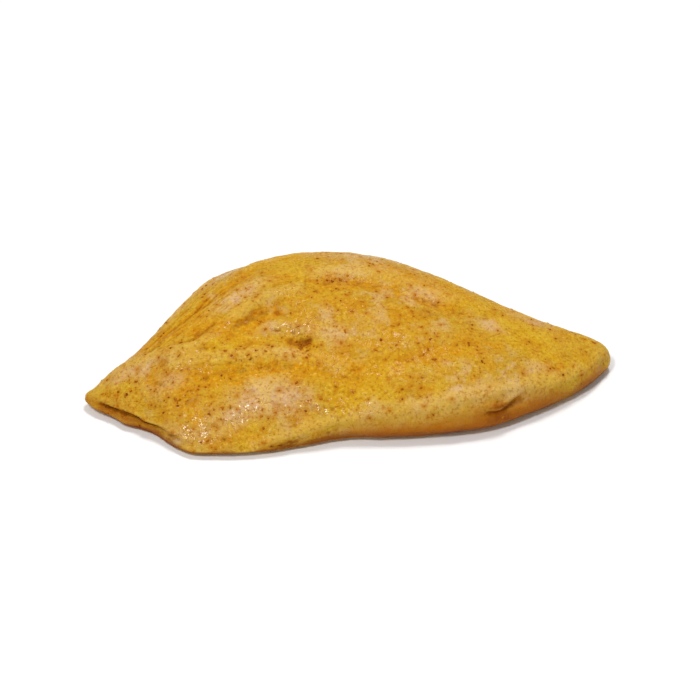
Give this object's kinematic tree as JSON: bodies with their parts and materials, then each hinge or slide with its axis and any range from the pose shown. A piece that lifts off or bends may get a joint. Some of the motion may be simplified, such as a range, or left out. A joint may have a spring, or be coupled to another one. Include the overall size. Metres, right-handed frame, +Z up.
{
  "type": "marinated raw chicken breast fillet",
  "caption": "Boned and skinned raw chicken breast fillet in a golden spiced marinade, pointed at one end, domed above and flat below.",
  "frame": {"origin": "on the surface that the fillet lies on, under the middle of its box", "axes": "+X from the pointed tip to the blunt end, +Y from the front edge to the thick back edge, +Z up"},
  "size_m": [0.144, 0.074, 0.0245],
  "materials": {
    "marinated_flesh": "wet, golden yellow marinade over pale pink flesh, with orange pools and brown creases",
    "ground_spice": "damp dark brown, red-brown and olive specks of ground spice and herb"
  },
  "bodies": {
    "root": {"breast_fillet": "marinated_flesh"}
  },
  "joints": []
}
